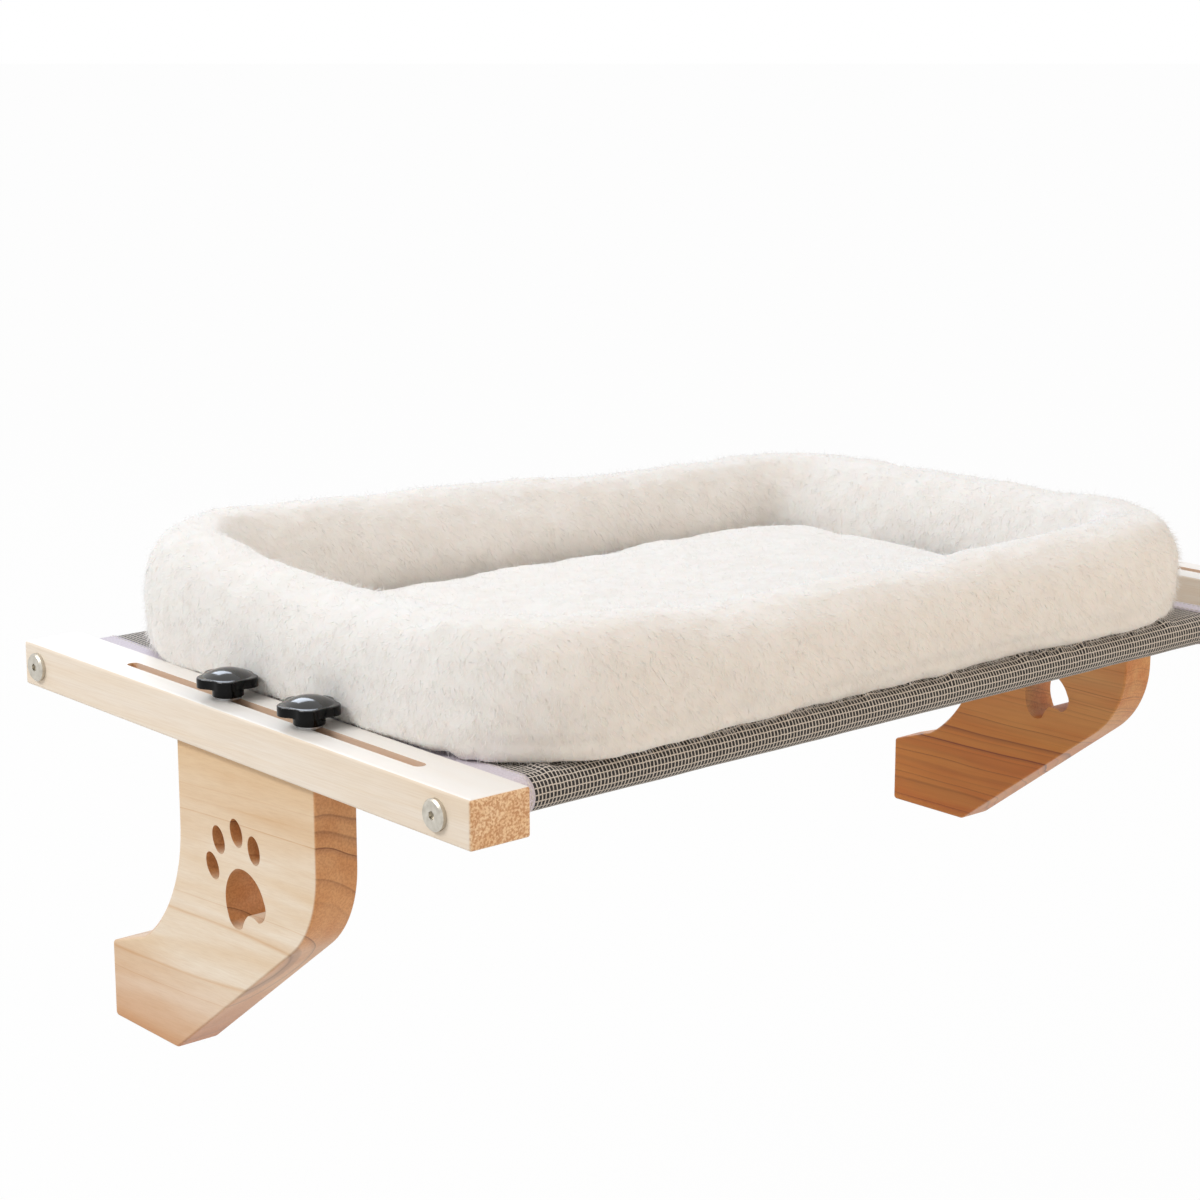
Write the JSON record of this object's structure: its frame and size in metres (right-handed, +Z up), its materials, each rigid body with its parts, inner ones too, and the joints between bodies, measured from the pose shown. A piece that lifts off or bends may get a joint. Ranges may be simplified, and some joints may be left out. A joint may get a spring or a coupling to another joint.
{
  "type": "window mounted cat perch",
  "caption": "Cat perch that sits on a window sill: mesh cloth hammock with a plush bed, between slotted pine rails on sliding legs clamped by star knobs.",
  "frame": {"origin": "midway along the perch, on the plane of the rails' undersides, in the plane of the legs' upright rear edges: the corner that sits on the sill", "axes": "+X along the perch to its far end, +Y from the room towards the wall, +Z up"},
  "size_m": [0.682, 0.41, 0.276],
  "materials": {
    "pine": "planed and sanded, clear matt coat",
    "nickel_steel": "satin nickel plate",
    "zinc_steel": "bright zinc plate",
    "brass": "turned",
    "black_plastic": "moulded, glossy",
    "coated_tube": "powder coat",
    "mesh_cloth": "open plain weave",
    "binding_tape": "woven tape",
    "plush": "short pile"
  },
  "bodies": {
    "frame": {"hammock_panel": "mesh_cloth", "near_binding": "binding_tape", "far_binding": "binding_tape", "bed_bolster": "plush", "bed_floor_pad": "plush", "front_tube": "coated_tube", "rear_tube": "coated_tube", "near_end_rail": "pine", "near_front_tube_plug": "zinc_steel", "near_front_frame_bolt": "nickel_steel", "near_rear_tube_plug": "zinc_steel", "near_rear_frame_bolt": "nickel_steel", "far_end_rail": "pine", "far_front_tube_plug": "zinc_steel", "far_front_frame_bolt": "nickel_steel", "far_rear_tube_plug": "zinc_steel", "far_rear_frame_bolt": "nickel_steel"},
    "near_leg_body": {"near_leg": "pine", "near_front_insert": "brass", "near_rear_insert": "brass"},
    "near_front_washer_body": {"near_front_washer": "zinc_steel"},
    "near_front_knob_body": {"near_front_knob": "black_plastic", "near_front_stud": "zinc_steel"},
    "near_rear_washer_body": {"near_rear_washer": "zinc_steel"},
    "near_rear_knob_body": {"near_rear_knob": "black_plastic", "near_rear_stud": "zinc_steel"},
    "far_leg_body": {"far_leg": "pine", "far_front_insert": "brass", "far_rear_insert": "brass"},
    "far_front_washer_body": {"far_front_washer": "zinc_steel"},
    "far_front_knob_body": {"far_front_knob": "black_plastic", "far_front_stud": "zinc_steel"},
    "far_rear_washer_body": {"far_rear_washer": "zinc_steel"},
    "far_rear_knob_body": {"far_rear_knob": "black_plastic", "far_rear_stud": "zinc_steel"}
  },
  "joints": [
    {"name": "near_leg_slide", "type": "slide", "parent": "frame", "child": "near_leg_body", "axis": [0, 1, 0], "range_m": [-0.09, 0.093]},
    {"name": "near_front_knob_rise", "type": "slide", "parent": "near_leg_body", "child": "near_front_washer_body", "axis": [0, 0, 1], "range_m": [0, 0.013]},
    {"name": "near_front_knob_turn", "type": "hinge", "parent": "near_front_washer_body", "child": "near_front_knob_body", "pos_m": [-0.32, -0.1055, 0.025], "axis": [0, 0, 1], "range_deg": [0, 4681]},
    {"name": "near_rear_knob_rise", "type": "slide", "parent": "near_leg_body", "child": "near_rear_washer_body", "axis": [0, 0, 1], "range_m": [0, 0.013]},
    {"name": "near_rear_knob_turn", "type": "hinge", "parent": "near_rear_washer_body", "child": "near_rear_knob_body", "pos_m": [-0.32, -0.0315, 0.025], "axis": [0, 0, 1], "range_deg": [0, 4681]},
    {"name": "far_leg_slide", "type": "slide", "parent": "frame", "child": "far_leg_body", "axis": [0, 1, 0], "range_m": [-0.09, 0.093]},
    {"name": "far_front_knob_rise", "type": "slide", "parent": "far_leg_body", "child": "far_front_washer_body", "axis": [0, 0, 1], "range_m": [0, 0.013]},
    {"name": "far_front_knob_turn", "type": "hinge", "parent": "far_front_washer_body", "child": "far_front_knob_body", "pos_m": [0.32, -0.1055, 0.025], "axis": [0, 0, 1], "range_deg": [0, 4681]},
    {"name": "far_rear_knob_rise", "type": "slide", "parent": "far_leg_body", "child": "far_rear_washer_body", "axis": [0, 0, 1], "range_m": [0, 0.013]},
    {"name": "far_rear_knob_turn", "type": "hinge", "parent": "far_rear_washer_body", "child": "far_rear_knob_body", "pos_m": [0.32, -0.0315, 0.025], "axis": [0, 0, 1], "range_deg": [0, 4681]}
  ],
  "couplings": [
    {"joint": "near_front_knob_turn", "follows": "near_front_knob_rise", "rad_per_m": 6283.2},
    {"joint": "near_rear_knob_turn", "follows": "near_rear_knob_rise", "rad_per_m": 6283.2},
    {"joint": "far_front_knob_turn", "follows": "far_front_knob_rise", "rad_per_m": 6283.2},
    {"joint": "far_rear_knob_turn", "follows": "far_rear_knob_rise", "rad_per_m": 6283.2}
  ]
}
